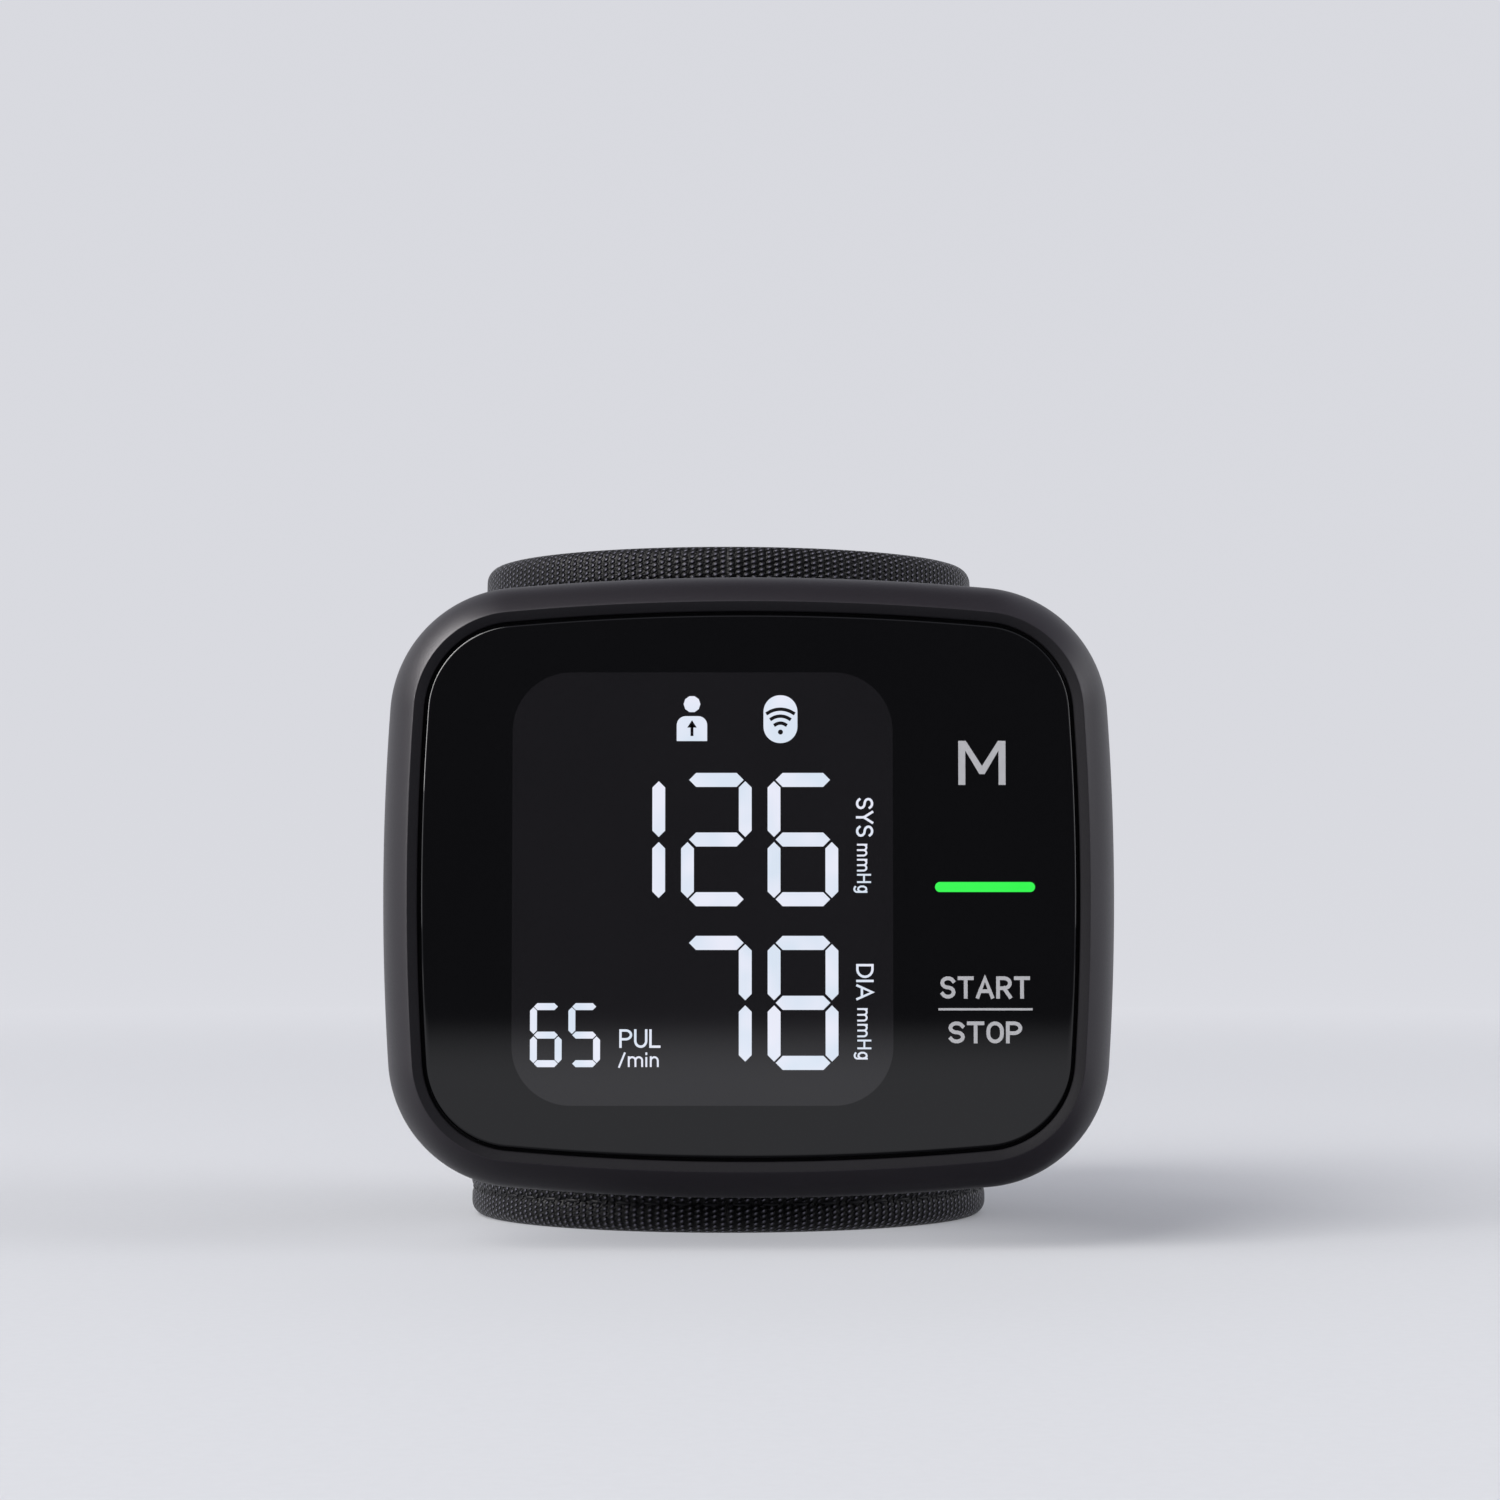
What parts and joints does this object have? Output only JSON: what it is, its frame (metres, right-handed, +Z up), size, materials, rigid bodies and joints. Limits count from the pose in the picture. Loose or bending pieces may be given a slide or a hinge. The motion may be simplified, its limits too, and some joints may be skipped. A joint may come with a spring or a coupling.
{
  "type": "wrist blood pressure monitor",
  "caption": "Wrist blood pressure monitor: a pebble-shaped case with a glossy lens, lit display and touch keys, standing on a padded cloth cuff that opens at the back with a hook tab.",
  "frame": {"origin": "on the surface that the cuff stands on, under the middle of the object's bounding box", "axes": "+Z up, along the wrist; -Y out of the lens; +X to the right as the display is read"},
  "size_m": [0.074, 0.0762, 0.0728],
  "materials": {
    "shell": "satin",
    "inner_plastic": "matte",
    "lens": "gloss",
    "green_light": "frosted",
    "board": "satin",
    "chip": "matte",
    "steel": "satin",
    "copper": "satin",
    "foil": "satin",
    "rubber": "matte",
    "silicone": "satin",
    "bladder": "satin",
    "cloth": "woven",
    "lining": "knit",
    "hooks": "hook tape"
  },
  "bodies": {
    "case": {"front_housing": "shell", "rear_housing": "shell", "lens": "lens", "lens_tape": "rubber", "display_module": "inner_plastic", "light_guide": "green_light", "status_led": "chip", "memory_touch_pad": "steel", "start_touch_pad": "steel", "main_board": "board", "controller_chip": "chip", "radio_module": "steel", "usb_socket": "steel", "battery": "foil", "battery_pad": "rubber", "pump_motor": "steel", "pump_sleeve": "rubber", "pump_housing": "inner_plastic", "pump_diaphragm": "rubber", "pump_cap": "inner_plastic", "air_manifold": "inner_plastic", "pump_tube": "silicone", "sensor_tube": "silicone", "valve_tube": "silicone", "cuff_tube": "silicone", "pressure_sensor": "chip", "air_nipple": "inner_plastic", "valve_yoke": "steel", "valve_coil": "copper", "valve_spring": "steel", "valve_seat": "rubber", "case_screw_1": "steel", "case_screw_2": "steel", "case_screw_3": "steel", "case_screw_4": "steel", "board_screw_1": "steel", "board_screw_2": "steel", "cuff_screw_1": "steel", "cuff_screw_2": "steel", "cuff_cover_front": "cloth", "cuff_curl_front": "inner_plastic", "air_bladder_front": "bladder", "cuff_lining_front": "lining"},
    "left_wing": {"cuff_cover_left": "cloth", "cuff_curl_left": "inner_plastic", "air_bladder_left": "bladder", "cuff_lining_left": "lining", "tab_root": "cloth"},
    "right_wing": {"cuff_cover_right": "cloth", "cuff_curl_right": "inner_plastic", "air_bladder_right": "bladder", "cuff_lining_right": "lining"},
    "closure": {"hook_tab": "cloth", "hook_strip": "hooks"},
    "rotor": {"motor_rotor": "copper", "pump_crank": "inner_plastic"},
    "plunger": {"valve_plunger": "steel"}
  },
  "joints": [
    {"name": "left_wing_open", "type": "hinge", "parent": "case", "child": "left_wing", "pos_m": [-0.02185, -0.00996, 0.0364], "axis": [0, 0, 1], "range_deg": [0, 60]},
    {"name": "right_wing_open", "type": "hinge", "parent": "case", "child": "right_wing", "pos_m": [0.01725, -0.00996, 0.0364], "axis": [0, 0, -1], "range_deg": [0, 60]},
    {"name": "closure_peel", "type": "hinge", "parent": "left_wing", "child": "closure", "pos_m": [-0.00291, 0.03813, 0.0364], "axis": [0, 0, 1], "range_deg": [0, 120]},
    {"name": "rotor_spin", "type": "hinge", "parent": "case", "child": "rotor", "pos_m": [-0.02, -0.02334, 0.03], "axis": [0, 0, 1], "continuous": true},
    {"name": "plunger_travel", "type": "slide", "parent": "case", "child": "plunger", "axis": [0, 0, 1], "range_m": [0, 0.0006], "stiffness_N_per_m": 100, "deforming": ["valve_spring"]}
  ],
  "couplings": [
    {"joint": "right_wing_open", "follows": "left_wing_open", "ratio": 1},
    {"joint": "closure_peel", "follows": "left_wing_open", "ratio": 2}
  ]
}
